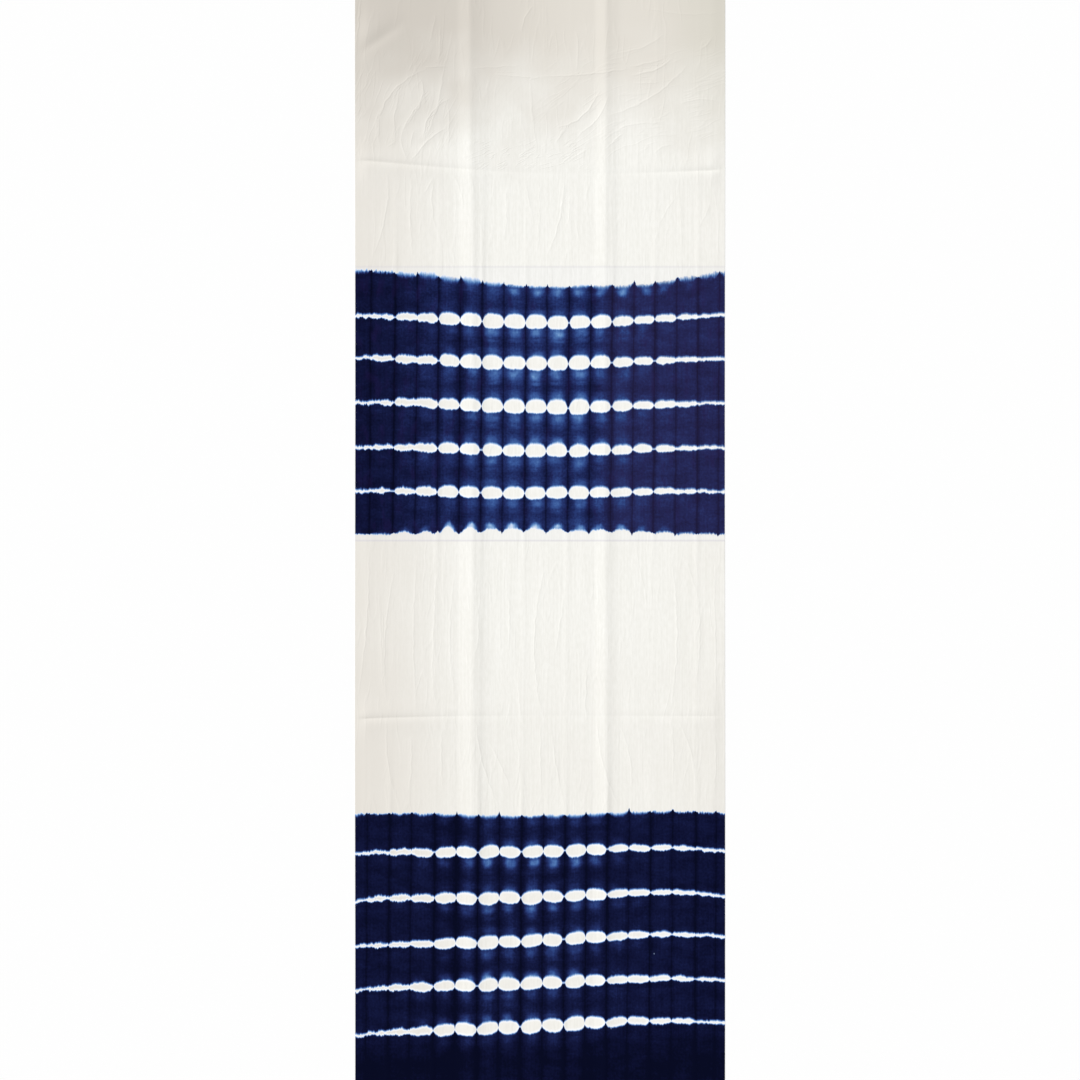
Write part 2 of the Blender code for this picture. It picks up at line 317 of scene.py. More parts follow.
def column_shares():
    """For each mesh column, the pleat strip that it lies in and how far across that strip."""
    counts = [COLUMNS_AT_LEFT] + [COLUMNS_A_PLEAT] * (PLEAT_COUNT - 1) + [COLUMNS_AT_RIGHT]
    strips, shares = [], []
    for strip, count in enumerate(counts):
        strips += [strip] * count
        shares += list(np.arange(count) / count)
    return np.array(strips + [len(counts) - 1]), np.array(shares + [1.0])


def place_columns(along):
    """Place across and pleat number for every point, by its row of places along the cloth.

    Inside a strip both go evenly from one pleat line to the next. The outer strips end on a selvedge.
    """
    strips, shares = column_shares()
    lines = pleat_lines(along)
    left = np.full_like(along, -CLOTH_WIDTH / 2)[None]
    lines = np.concatenate([left, lines, -left])
    columns = np.arange(len(strips))
    start = lines[strips, :, columns].T
    end = lines[strips + 1, :, columns].T
    across = start + (end - start) * shares
    pleat = np.where(strips == 0, (across - end) / PLEAT_PITCH, strips - 1 + shares)
    pleat = np.where(strips == PLEAT_COUNT, strips - 1 + (across - start) / PLEAT_PITCH, pleat)
    return across, pleat


def crowded(count, crowd):
    """Steps from 0 to 1 that crowd towards 0 by the power crowd, or towards 1 if it is negative."""
    steps = np.arange(count) / count
    return steps ** crowd if crowd > 0 else 1.0 - (1.0 - steps) ** -crowd


def place_rows(nominal):
    """Place along and row number for every point, from each column's nominal place across.

    Between two lines the place goes evenly from one to the other. The row number's slope is that of
    true size at both lines: t, plus (ratio - 1) times t (1 - t) (1 - 2t), where ratio is the true
    gap over the gap in rows.
    """
    alongs, rows = [], []
    places = [smoothed(line.along)(nominal) * MM for line in LINES]
    for number, line in enumerate(LINES[:-1]):
        t = crowded(line.rows, line.crowd)[:, None]
        start, end = places[number], places[number + 1]
        span = LINES[number + 1].row - line.row
        ratio = (start - end) / (LINE_GAP * span)
        alongs.append(start + (end - start) * t)
        rows.append(line.row + span * (t + (ratio - 1.0) * t * (1.0 - t) * (1.0 - 2.0 * t)))
    alongs.append(places[-1][None])
    rows.append(np.full_like(nominal, LINES[-1].row)[None])
    return np.concatenate(alongs), np.concatenate(rows)


def ridge_lift(across, along):
    """A raised cosine on each wide fold's line, whose rise wanders by the product of two waves.

    A tight fold is a groove between two low shoulders: steps times e to the power 1 - steps.
    """
    lift = np.zeros_like(across)
    lines = pleat_lines(along)
    for number in range(1, PLEAT_COUNT, 2):
        wander = RIDGE_UNEVENNESS
        for wave, step in zip(RIDGE_WAVES, RIDGE_WAVE_STEPS):
            wander = wander * np.sin(wave * along + step * number)
        lift += RIDGE_RISE * (1.0 + wander) * raised_cosine(across - lines[number], RIDGE_HALF_WIDTH)
    for number in range(0, PLEAT_COUNT, 2):
        steps = np.abs(across - lines[number]) / TIGHT_FOLD_SHOULDER
        lift += TIGHT_FOLD_RISE * steps * np.exp(1.0 - steps)
    return lift * np.interp(along, RIDGE_STRENGTH["along"], RIDGE_STRENGTH["share"])


def press_fold_lift(across, along):
    """A nearly even rise up the slow flank, a fifth of it an S-shaped step, and down the steep flank
    the square of the share that is left to go."""
    lift = np.zeros_like(across)
    for fold in PRESS_FOLDS:
        crest, rise, slow, steep = (np.interp(along, PRESS_FOLD_PLACES, fold[name])
                                    for name in ("crest", "rise", "slow", "steep"))
        distance = across - crest
        share = np.clip(1.0 + distance / slow, 0.0, 1.0)
        up_slow = 0.8 * share + 0.2 * share**2 * (3.0 - 2.0 * share)
        down_steep = np.clip(1.0 - distance / steep, 0.0, 1.0) ** 2
        lift += rise * np.where(distance < 0, up_slow, down_steep)
    return lift


def cross_fold_lift(across, along):
    """Nothing on the line, rising to its shoulders and fading beyond: steps times e to 1 - steps."""
    lift = np.zeros_like(across)
    for fold in CROSS_FOLDS:
        groove = smoothed(LINES[fold["line"]].along)(across) * MM
        rise = smoothed(fold["rise"])(across)
        steps = np.abs(along - groove) / fold["shoulder"]
        lift += rise * steps * np.exp(1.0 - steps)
    return lift


def crease_fields(across, along):
    """Signed distance in mm to the nearest crease, and that crease's rise at its nearest point.

    Each crease is a quadratic curve, (1 - t) squared times its start, plus 2 t (1 - t) times its bend,
    plus t squared times its end, cut into short straight steps. Its rise fades towards both ends by
    the root of a sine. The distance is positive on the left of the way from start to end.
    """
    place = np.stack([across, along], axis=-1) / MM
    nearest = np.full(across.shape, np.inf)
    signed, rise = np.zeros(across.shape), np.zeros(across.shape)
    t = np.linspace(0.0, 1.0, CREASE_STEPS + 1)[:, None]
    for crease in CREASES:
        start, bend, end = np.array([crease.start, crease.bend, crease.end], dtype=float)
        knots = (1 - t) ** 2 * start + 2 * t * (1 - t) * bend + t**2 * end
        for step in range(CREASE_STEPS):
            run = knots[step + 1] - knots[step]
            offset = place - knots[step]
            share = np.clip(offset @ run / (run @ run), 0.0, 1.0)
            away = np.linalg.norm(offset - share[..., None] * run, axis=-1)
            side = np.sign(run[0] * offset[..., 1] - run[1] * offset[..., 0])
            fade = np.sqrt(np.sin(np.pi * (step + share) / CREASE_STEPS).clip(0.0))
            closer = away < nearest
            nearest = np.where(closer, away, nearest)
            signed = np.where(closer, away * side, signed)
            rise = np.where(closer, crease.rise * fade, rise)
    return signed, rise


def crease_lift(signed, rise):
    """The crease's soft foot on the sheet: a raised cosine of the distance, by a share of the rise."""
    return FOOT_RISE_SHARE * rise * MM * raised_cosine(signed, CREASE_FOOT)


def hollow_lift(across, along):
    """Nothing on its way, up to a shoulder on each side: steps times e to 1 - steps, all squared.

    It fades towards both ends of the way along a raised cosine. The first shoulder is on the left.
    """
    start, end = np.array(HOLLOW["start"]) * MM, np.array(HOLLOW["end"]) * MM
    length = np.linalg.norm(end - start)
    run = (end - start) / length
    from_start = (across - start[0]) * run[0] + (along - start[1]) * run[1]
    aside = (along - start[1]) * run[0] - (across - start[0]) * run[1]
    steps = np.abs(aside) / np.where(aside > 0, *HOLLOW["shoulders"]) / MM
    rise = np.where(aside > 0, *HOLLOW["rises"]) * MM
    fade = raised_cosine(from_start - length / 2, HOLLOW_FADE * length)
    return rise * fade * (steps * np.exp(1.0 - steps)) ** 2


def slow_swell(across, along):
    """A very low unevenness all over, the product of two slow waves, never below zero."""
    waves = (1.0 + np.sin(23.0 * across + 9.0 * along)) * (1.0 + np.sin(17.0 * along - 6.0 * across))
    return SWELL_RISE * waves


def at_rest_on_selvedges(across):
    """0 on both selvedges, where the cloth lies flat, and 1 from SELVEDGE_REST in: an S-shaped step."""
    share = np.clip((CLOTH_WIDTH / 2 - np.abs(across)) / SELVEDGE_REST, 0.0, 1.0)
    return share**2 * (3.0 - 2.0 * share)


def between_lines(rows, column):
    """A column of the stitching's table, read evenly from one line to the next."""
    known = [getattr(line, column) for line in STITCHING]
    return np.interp(rows, [line.row for line in STITCHING], known)


def halo_strength(pleat, row, column):
    """A halo's strength in each pleat: the table's, falling along a bell from the line's middle."""
    from_middle = np.floor(pleat) + 0.5 - between_lines(row, "middle")
    return between_lines(row, column) * np.exp(-((from_middle / between_lines(row, "spread")) ** 2))


def band_edge(pleat, name):
    """A column of the upper band's edges, the same all over a pleat."""
    return np.interp(np.floor(pleat), BAND_EDGES["pleat"], BAND_EDGES[name])


def dye_depth(pleat, row):
    """How deep the dye is: deeper at the selvedges, in the lower band and at its end, and by painted
    shade beside the press folds.

    The sides add as much as the stitches' fullness is short of 1. The lower band and its end are even
    steps up, and the painted shade beside the press folds is added along raised cosines.
    """
    at_sides = np.where(pleat < PLEAT_COUNT / 2, DEPTH["left"], DEPTH["right"])
    at_sides = at_sides * (1.0 - stitch_pull(pleat - 0.5, row, "full"))
    lower_band = DEPTH["lower band"] * np.clip((row - FIRST_ROW_OF_LOWER_BAND) / 2.0, 0.0, 1.0)
    lower_end = DEPTH["end"] * np.clip((row - ROW_AT_LOWER_END) / 0.5, 0.0, 1.0)
    # Painted shade: strips of deeper dye beside the press folds stand in for their shaded flanks.
    painted_fold_shade = sum(strip["depth"] * raised_cosine(pleat - strip["pleat"], strip["half_width"])
                  for strip in PAINTED_FOLD_SHADE_STRIPS)
    return np.minimum(DEPTH["all over"] + at_sides + lower_band, DEPTH["most"]) + lower_end + painted_fold_shade


def edge_waver(edge, place):
    """A wave along an edge, between 0 and its size: half the size times 1 plus a sine."""
    size, wave, start = EDGE_WAVERS[edge]
    return size * (0.5 + 0.5 * np.sin(wave * place + start))


def drawn_in(across, along):
    """The points moved in from the full rectangle's edges, by a waver on each."""
    from_left = across / CLOTH_WIDTH + 0.5
    from_lower = along / CLOTH_LENGTH + 0.5
    move_right = edge_waver("left", along) * (1.0 - from_left) ** SELVEDGE_HOLD
    move_left = edge_waver("right", along) * from_left**SELVEDGE_HOLD
    move_up = edge_waver("lower", across) * (1.0 - from_lower) ** CUT_END_HOLD
    move_down = edge_waver("upper", across) * from_lower**CUT_END_HOLD
    return across + move_right - move_left, along + move_up - move_down


def add_attribute(mesh, name, *parts):
    """Two or three smooth fields as one vector at each point."""
    parts += (np.zeros_like(parts[0]),) * (3 - len(parts))
    attribute = mesh.attributes.new(name, "FLOAT_VECTOR", "POINT")
    attribute.data.foreach_set("vector", np.stack([part.ravel() for part in parts], axis=1).ravel())


def border_edges(mesh, height, width):
    """Which mesh edges run along the border of the grid."""
    ends = np.zeros(len(mesh.edges) * 2, dtype=np.int32)
    mesh.edges.foreach_get("vertices", ends)
    grid_row, grid_column = np.divmod(ends.reshape(-1, 2), width)
    at_ends = ((grid_row == 0) | (grid_row == height - 1)).all(axis=1)
    at_sides = ((grid_column == 0) | (grid_column == width - 1)).all(axis=1)
    along_rows = grid_row[:, 0] == grid_row[:, 1]
    return (at_ends & along_rows) | (at_sides & ~along_rows)


def put_in_scene(name, data):
    """A new object with this data, linked to the scene."""
    made = bpy.data.objects.new(name, data)
    bpy.context.scene.collection.objects.link(made)
    return made


def make_cloth():
    """The sheet as a grid whose columns follow the pleats and whose rows follow the lines across."""
    strips, shares = column_shares()
    middle_lines = np.concatenate([[-CLOTH_WIDTH / 2], pleat_lines(0.0), [CLOTH_WIDTH / 2]])
    nominal = middle_lines[strips] + (middle_lines[strips + 1] - middle_lines[strips]) * shares
    along, row = place_rows(nominal)
    across, pleat = place_columns(along)
    lift = ridge_lift(across, along) + press_fold_lift(across, along) + cross_fold_lift(across, along)
    to_crease, crease_rise = crease_fields(across, along)
    lift += crease_lift(to_crease, crease_rise) + hollow_lift(across, along) + slow_swell(across, along)
    lift *= at_rest_on_selvedges(across)
    across, along = drawn_in(across, along)

    height, width = across.shape
    numbers = np.arange(height * width).reshape(height, width)
    corners = (numbers[1:, :-1], numbers[1:, 1:], numbers[:-1, 1:], numbers[:-1, :-1])
    faces = np.stack(corners, axis=-1).reshape(-1, 4)
    points = np.stack([across, along, lift], axis=-1).reshape(-1, 3)
    mesh = bpy.data.meshes.new("dyed_cloth")
    mesh.from_pydata(points.tolist(), [], faces.tolist())
    add_attribute(mesh, "pattern", pleat, row, stitch_pull(np.floor(pleat), row, "full"))
    add_attribute(mesh, "blobs", between_lines(row, "above"), between_lines(row, "below"),
                  dye_depth(pleat, row))
    add_attribute(mesh, "halos", halo_strength(pleat, row, "halo_above"),
                  halo_strength(pleat, row, "halo_below"), stitch_pull(np.round(pleat), row, "pinch"))
    add_attribute(mesh, "top_edge", *(band_edge(pleat, name) for name in ("set back", "fringe", "halo")))
    add_attribute(mesh, "bottom_edge", band_edge(pleat, "dome"), band_edge(pleat, "flame"))
    shown = raised_cosine(np.maximum(np.abs(to_crease) - CREST_SHOWN_TO, 0.0), CREST_SHOWN_TO)
    add_attribute(mesh, "creases", to_crease, crease_rise * shown)
    mesh.polygons.foreach_set("use_smooth", np.ones(len(faces), dtype=bool))
    mesh.edges.foreach_set("use_edge_sharp", border_edges(mesh, height, width))
    mesh.update()
    cloth = put_in_scene("dyed_cloth", mesh)
    solidify = cloth.modifiers.new("thickness", "SOLIDIFY")
    solidify.thickness = CLOTH_THICKNESS
    solidify.offset = 1.0
    return cloth


def paint(red, green, blue):
    """A colour by its display values from 0 to 255."""
    def linear(value):
        share = value / 255.0
        return share / 12.92 if share <= 0.04045 else ((share + 0.055) / 1.055) ** 2.4
    return (linear(red), linear(green), linear(blue), 1.0)


class Wiring:
    """Short calls for the nodes of one tree. Each puts its inputs in place and returns an output."""

    def __init__(self, tree):
        self.tree = tree

    def put(self, socket, value):
        if isinstance(value, bpy.types.NodeSocket):
            self.tree.links.new(value, socket)
        else:
            socket.default_value = value

    def node(self, kind, inputs=None, **settings):
        made = self.tree.nodes.new("ShaderNode" + kind)
        for name, value in settings.items():
            setattr(made, name, value)
        for place, value in (inputs or {}).items():
            self.put(made.inputs[place], value)
        return made

    def math(self, operation, first, second=0.0, third=0.0):
        return self.node("Math", {0: first, 1: second, 2: third}, operation=operation).outputs[0]

    def chain(self, operation, values):
        """The operation taken from each value on to the next."""
        result = values[0]
        for value in values[1:]:
            result = self.math(operation, result, value)
        return result

    def add(self, *terms):
        return self.chain("ADD", terms)

    def times(self, *factors):
        return self.chain("MULTIPLY", factors)

    def highest(self, *values):
        return self.chain("MAXIMUM", values)

    def less(self, first, second):
        return self.math("SUBTRACT", first, second)

    def apart(self, first, second=0.0):
        """How far two values are from each other."""
        return self.math("ABSOLUTE", self.less(first, second))

    def smooth(self, value, start, end, low=0.0, high=1.0):
        """An S-shaped step from low at start to high at end."""
        inputs = {0: value, 1: start, 2: end, 3: low, 4: high}
        return self.node("MapRange", inputs, interpolation_type="SMOOTHSTEP").outputs[0]

    def spread(self, chance, low, high):
        """A chance from 0 to 1 taken to lie between low and high."""
        return self.smooth(chance, 0.0, 1.0, low, high)

    def mix(self, share, low, high):
        return self.node("Mix", {0: share, 2: low, 3: high}, data_type="FLOAT").outputs[0]

    def tint(self, share, low, high):
        return self.node("Mix", {0: share, 6: low, 7: high}, data_type="RGBA").outputs[2]

    def outline(self, value, points):
        """A soft curve through given points."""
        made = self.node("FloatCurve", {"Value": value})
        curve = made.mapping.curves[0]
        curve.points[0].location, curve.points[-1].location = points[0], points[-1]
        for point in points[1:-1]:
            curve.points.new(*point)
        made.mapping.update()
        return made.outputs[0]

    def vector(self, x=0.0, y=0.0, z=0.0):
        return self.node("CombineXYZ", {0: x, 1: y, 2: z}).outputs[0]

    def parts(self, vector):
        return self.node("SeparateXYZ", {0: vector}).outputs

    def attribute(self, name):
        """The three fields that the sheet carries under this name."""
        return self.parts(self.node("Attribute", attribute_name=name).outputs["Vector"])

    def noise(self, vector, scale=1.0, detail=2.0, roughness=0.5):
        """Smooth noise from about -1 to 1."""
        inputs = {"Vector": vector, "Scale": scale, "Detail": detail, "Roughness": roughness}
        fac = self.node("TexNoise", inputs).outputs[0]
        return self.math("MULTIPLY_ADD", fac, 2.0, -1.0)

    def chance(self, x, y, z=0.0):
        """Three numbers from 0 to 1 that stay the same all over a cell."""
        made = self.node("TexWhiteNoise", {"Vector": self.vector(x, y, z)}, noise_dimensions="3D")
        return self.node("SeparateColor", {0: made.outputs["Color"]}).outputs


def new_group(name, inputs, outputs):
    """A shader node group with plain number sockets. Returns its wiring, its inputs and its output."""
    group = bpy.data.node_groups.new(name, "ShaderNodeTree")
    for way, sockets in (("INPUT", inputs), ("OUTPUT", outputs)):
        for socket in sockets:
            group.interface.new_socket(socket, in_out=way, socket_type="NodeSocketFloat")
    source, sink = (group.nodes.new("NodeGroup" + way) for way in ("Input", "Output"))
    return Wiring(group), source.outputs, sink.inputs


def use_group(wiring, group, inputs):
    """A group's node in this tree, with its inputs in place. Returns its outputs."""
    made = wiring.node("Group", node_tree=group)
    for name, value in inputs.items():
        wiring.put(made.inputs[name], value)
    return made.outputs


# Outlines of one blob, from its wide fold at 0 to its tight fold at 1, as shares of its full reach. In
# the upper band a blob is nearly even, and in the lower band it leans up towards its tight fold.
EVEN_TOP = ((0.0, 0.07), (0.03, 0.34), (0.09, 0.66), (0.16, 0.84), (0.26, 0.95), (0.42, 1.0),
            (0.58, 0.99), (0.72, 0.93), (0.84, 0.78), (0.92, 0.55), (0.97, 0.28), (1.0, 0.07))
EVEN_BOTTOM = ((0.0, 0.07), (0.03, 0.38), (0.08, 0.71), (0.16, 0.92), (0.28, 0.99), (0.46, 1.0),
               (0.64, 0.98), (0.78, 0.91), (0.88, 0.74), (0.94, 0.5), (0.975, 0.26), (1.0, 0.07))
LEANING_TOP = ((0.0, 0.08), (0.05, 0.38), (0.14, 0.64), (0.3, 0.86), (0.5, 0.97), (0.68, 1.0),
               (0.84, 0.93), (0.94, 0.70), (0.98, 0.38), (1.0, 0.08))
LEANING_BOTTOM = ((0.0, 0.08), (0.04, 0.46), (0.12, 0.79), (0.24, 0.96), (0.42, 1.0), (0.6, 0.96),
                  (0.79, 0.82), (0.91, 0.6), (0.97, 0.34), (1.0, 0.08))


def from_wide_fold(w, pleat):
    """0 on a wide fold and 1 on the tight folds beside it."""
    return w.less(1.0, w.math("PINGPONG", pleat, 1.0))


def blobs_group():
    """Undyed blobs on the stitched lines, with the halos that bled under the binding.

    A blob's reach above or below its line is the table's reach, times how full the blobs are there,
    times a blob's outline between its two folds, plus lumps. "Inside" is that reach less the distance
    from the line, in mm. Halos are soft ovals beyond a blob's upper and lower edge, near the middle
    of its pleat, and a fainter echo lies beyond the lower one. The streak roughens all of them.
    """
    names = ("Pleat", "Row", "Fullness", "Pinch", "Above", "Below", "Halo Above", "Halo Below", "Streak",
             "Blotch")
    w, given, result = new_group("stitched blobs", names, ("Undyed", "Core", "Halo", "Between"))
    pleat, fullness, streak = given["Pleat"], given["Fullness"], given["Streak"]
    line = w.math("ROUND", given["Row"])
    from_line = w.times(w.less(given["Row"], line), LINE_GAP / MM)
    is_below = w.math("GREATER_THAN", from_line, 0.0)
    cell = w.chance(w.math("FLOOR", pleat), line)
    side = w.chance(w.math("FLOOR", pleat), line, w.add(is_below, 11.0))
    fold = w.chance(w.math("ROUND", pleat), line, 5.0)

    from_wide = from_wide_fold(w, pleat)
    bridge = w.times(fold[0], fold[0], 0.07)
    share = w.math("DIVIDE", w.less(from_wide, bridge), w.less(1.0, bridge))
    lean = w.times(w.math("GREATER_THAN", line, FIRST_ROW_OF_LOWER_BAND), w.smooth(cell[2], -0.6, 0.6))
    top = w.mix(lean, w.outline(share, EVEN_TOP), w.outline(share, LEANING_TOP))
    bottom = w.mix(lean, w.outline(share, EVEN_BOTTOM), w.outline(share, LEANING_BOTTOM))
    pinch = w.smooth(w.add(given["Pinch"], w.times(fold[1], 0.3)), 0.35, 0.95)
    outline = w.mix(pinch, 0.85, w.mix(is_below, top, bottom))
    reach = w.mix(is_below, given["Above"], given["Below"])
    luck = w.spread(side[0], 0.90, 1.08)
    lump_place = w.vector(w.times(pleat, 3.1), w.times(line, 7.3), w.times(is_below, 5.1))
    lumps = w.times(w.noise(lump_place, detail=3.0, roughness=0.6), w.mix(fullness, 5.6, 1.1))
    jags = w.times(streak, w.mix(fullness, 2.2, 0.8))
    uneven = w.times(w.add(lumps, jags), w.smooth(pleat, 9.0, 12.0, 1.0, 0.6))
    inside = w.add(w.times(reach, fullness, outline, luck), uneven)
    off_line = w.apart(from_line)
    inside = w.less(w.highest(inside, 0.6), off_line)

    on_a_line = w.add(w.math("COMPARE", line, 5.0, 2.5), w.math("COMPARE", line, 17.0, 2.5))
    soft_start, soft_end = w.mix(is_below, -2.0, -1.2), w.mix(is_below, 1.4, 0.9)
    w.put(result["Undyed"], w.times(on_a_line, w.smooth(inside, soft_start, soft_end)))
    w.put(result["Core"], w.smooth(inside, 0.6, 2.8))
    w.put(result["Between"], w.smooth(off_line, 9.0, 17.0))

    outside = w.add(w.times(inside, -1.0), w.times(streak, 2.0))
    middle = w.spread(side[1], 0.44, 0.62)
    half_width = w.spread(side[2], 0.38, 0.54)
    lobe = w.smooth(w.apart(from_wide, middle), half_width, 0.06)
    reach_out = w.spread(cell[1], -2.0, 2.0)
    oval_above = w.smooth(outside, 1.0, w.add(reach_out, 10.0), 1.0, 0.0)
    oval_below = w.times(w.smooth(outside, -1.5, 3.5, 0.35, 1.0),
                         w.smooth(outside, 5.0, w.add(reach_out, 13.0), 1.0, 0.0))
    echo = w.times(w.smooth(outside, 8.0, 11.5), w.smooth(outside, 11.5, 16.0, 1.0, 0.0),
                   w.smooth(line, FIRST_ROW_OF_LOWER_BAND, 15.0, 0.45, 0.2))
    oval = w.mix(is_below, oval_above, w.highest(oval_below, echo))
    strength = w.mix(is_below, given["Halo Above"], given["Halo Below"])
    strength = w.times(strength, w.spread(side[0], 0.8, 1.15))
    halo = w.times(on_a_line, lobe, oval, strength, w.math("MULTIPLY_ADD", streak, 0.3, 1.0))
    w.put(result["Halo"], w.times(halo, w.smooth(given["Blotch"], -0.35, 0.3, 0.7, 1.15)))
    return w.tree


def band_edge_group():
    """A band's edge, where dye crept up the folds in spikes and stopped in soft domes between them.

    "Inside" is the distance into the band in mm. Spikes add to it by a high power of the share of the
    way from mid-pleat to the fold, and domes take away from it by a power of m times (2 - m), where m
    is the share of the way from the fold to mid-pleat. A dome is narrow on the left of the cloth and
    full on its right. It has low shoulders at its folds and stays partly up across a wide fold. The dye
    is the inside so left over the fringe, plus a half. Halos are soft leaning ovals inside the edge.
    """
    names = ("Inside", "Pleat", "Seed", "Spike", "Dome", "Fringe", "Fuzz", "Halo Strength", "Halo Start",
             "Halo Length", "Halo Width", "Halo Taper", "Streak", "Blotch")
    w, given, result = new_group("band edge", names, ("Dye", "Halo"))
    pleat = given["Pleat"]
    mid_pleat = w.times(w.math("PINGPONG", pleat, 0.5), 2.0)
    fold = w.chance(w.math("ROUND", pleat), given["Seed"], 3.0)
    cell = w.chance(w.math("FLOOR", pleat), given["Seed"], 8.0)
    from_wide = from_wide_fold(w, pleat)
    on_right = w.smooth(pleat, 9.5, 11.5)
    spike = w.math("POWER", w.less(1.0, mid_pleat), w.mix(on_right, 12.0, 6.0))
    spike = w.times(spike, given["Spike"], w.mix(on_right, 1.0, 1.8))
    spike = w.times(spike, w.spread(fold[0], 0.6, 1.2), w.mix(from_wide, 0.7, 1.2))
    round_share = w.times(mid_pleat, w.less(2.0, mid_pleat))
    fullness = w.math("POWER", round_share, w.smooth(pleat, 3.5, 5.5, 2.5, 0.5))
    shoulders = w.times(w.math("POWER", mid_pleat, 0.3), 0.35)
    over_wide = w.times(w.math("POWER", w.less(1.0, from_wide), 4.0),
                        w.smooth(pleat, 8.0, 12.0, 0.42, 0.7))
    arch = w.highest(fullness, shoulders, over_wide)
    dome = w.times(given["Dome"], arch, w.spread(cell[0], 0.88, 1.12))
    place = w.vector(w.times(pleat, 4.0), given["Seed"], 0.0)
    jags = w.times(w.noise(place, detail=3.0, roughness=0.6), 1.5)
    fuzz = w.times(given["Streak"], given["Fuzz"])
    inside = w.add(given["Inside"], spike, jags, fuzz, w.times(dome, -1.0))
    softness = w.times(given["Fringe"], w.spread(cell[1], 0.7, 1.2))
    softness = w.mix(w.smooth(mid_pleat, 0.0, 0.45), 1.4, softness)
    w.put(result["Dye"], w.add(w.math("DIVIDE", inside, softness), 0.5))

    lean = w.times(w.less(cell[1], 0.5), inside, 0.05)
    middle = w.add(w.spread(cell[2], 0.42, 0.62), lean)
    aside = w.add(w.apart(from_wide, middle), w.times(inside, given["Halo Taper"]))
    lobe = w.smooth(aside, given["Halo Width"], 0.04)
    into_halo = w.math("DIVIDE", w.less(inside, given["Halo Start"]), given["Halo Length"])
    ring = w.times(w.smooth(into_halo, 0.0, 0.4), w.smooth(into_halo, 0.5, 1.0, 1.0, 0.0))
    strength = w.times(given["Halo Strength"], w.spread(cell[0], 0.85, 1.1))
    blotch = w.smooth(given["Blotch"], -0.35, 0.3, 0.75, 1.1)
    w.put(result["Halo"], w.times(lobe, ring, strength, blotch))
    return w.tree


# In mm: the thread spacing, and the place about which the fine wrinkles near the upper end turn. Then
# how fine the threads' unevenness is across and along the cloth, in steps a mm, and its seeds.
THREAD_PITCH = 0.55
UPPER_MIDDLE = (10.0, 395.0)
THREAD_STREAKS = table("name across along seed", (
    ("Warp", 0.6, 0.015, 0.0), ("Weft", 0.05, 0.6, 4.0), ("Fibre", 0.6, 0.16, 8.0),
))


def weave_group():
    """Plain weave as the product of a wave across and a wave along, with slubs and warp streaks."""
    w, given, result = new_group("plain weave", ("Across", "Along"), ("Height", "Warp", "Weft", "Fibre"))
    across, along = given["Across"], given["Along"]
    thread = math.pi / THREAD_PITCH
    over = w.times(w.math("SINE", w.times(across, thread)), w.math("SINE", w.times(along, thread)))
    w.put(result["Height"], over)
    for streak in THREAD_STREAKS:
        drawn = w.vector(w.times(across, streak.across), w.times(along, streak.along), streak.seed)
        w.put(result[streak.name], w.noise(drawn, detail=3.0))
    return w.tree


def wrinkle_group():
    """Fine wrinkles, 1 on their crests. They run at an angle from the width, in degrees.

    In a frame turned by that angle the noise is drawn out along it. A wrinkle is where the noise
    passes through nothing, and a second, patchy noise breaks the wrinkles up.
    """
    names = ("Across", "Along", "Angle", "Spacing", "Seed")
    w, given, result = new_group("fine wrinkles", names, ("Height",))
    across, along = given["Across"], given["Along"]
    turn = w.math("RADIANS", given["Angle"])
    cosine, sine = w.math("COSINE", turn), w.math("SINE", turn)
    lengthwise = w.add(w.times(across, cosine), w.times(along, sine))
    crosswise = w.less(w.times(along, cosine), w.times(across, sine))
    lengthwise = w.math("DIVIDE", lengthwise, given["Spacing"])
    crosswise = w.math("DIVIDE", crosswise, given["Spacing"])
    drawn = w.vector(w.times(lengthwise, 0.22), crosswise, given["Seed"])
    crest = w.smooth(w.apart(w.noise(drawn, detail=2.0, roughness=0.4)), 0.13, 0.0)
    patchy = w.vector(w.times(lengthwise, 0.3), w.times(crosswise, 0.4), w.add(given["Seed"], 7.0))
    w.put(result["Height"], w.times(crest, w.smooth(w.noise(patchy, detail=0.0), -0.15, 0.25)))
    return w.tree


def wrinkle_height(w, across, along):
    """Fine wrinkles in mm: long ones down the cloth, others near its upper end, and a crumpled patch.

    Near the upper end they turn from steep on the left to slanting on the right, about UPPER_MIDDLE.
    """
    group = wrinkle_group()
    at = {"Across": across, "Along": along}
    down = use_group(w, group, {**at, "Angle": 88.0, "Spacing": 11.0, "Seed": 1.0})
    angle = w.add(w.smooth(across, -110.0, 20.0, 70.0, 36.0), w.smooth(across, 30.0, 150.0, 0.0, -16.0))
    upper = use_group(w, group, {
        "Across": w.less(across, UPPER_MIDDLE[0]), "Along": w.less(along, UPPER_MIDDLE[1]),
        "Angle": angle, "Spacing": 7.0, "Seed": 4.0})
    crumple = use_group(w, group, {**at, "Angle": 24.0, "Spacing": 3.6, "Seed": 9.0})
    upper_share = w.times(w.smooth(along, 338.0, 362.0), w.smooth(along, 475.0, 430.0),
                          w.smooth(w.apart(across, -35.0), 20.0, 60.0, 0.25, 1.0))
    crumple_share = w.times(w.smooth(w.apart(across, -10.0), 75.0, 35.0),
                            w.smooth(w.apart(along, 354.0), 20.0, 9.0))
    return w.add(w.times(down["Height"], 0.060), w.times(upper["Height"], upper_share, 0.070),
                 w.times(crumple["Height"], crumple_share, 0.11))


# The indigo's colours run from none to the deepest, at DYE_FULL_SCALE.
DYE_COLOURS = (
    (0.00, (247, 249, 252)),
    (0.10, (205, 217, 238)),
    (0.24, (140, 175, 216)),
    (0.38, (88, 128, 184)),
    (0.52, (56, 86, 148)),
    (0.64, (38, 56, 112)),
    (0.74, (27, 37, 84)),
    (0.83, (17, 23, 60)),
    (0.92, (10, 14, 45)),
    (1.00, (5, 8, 32)),
)
DYE_FULL_SCALE = 1.35


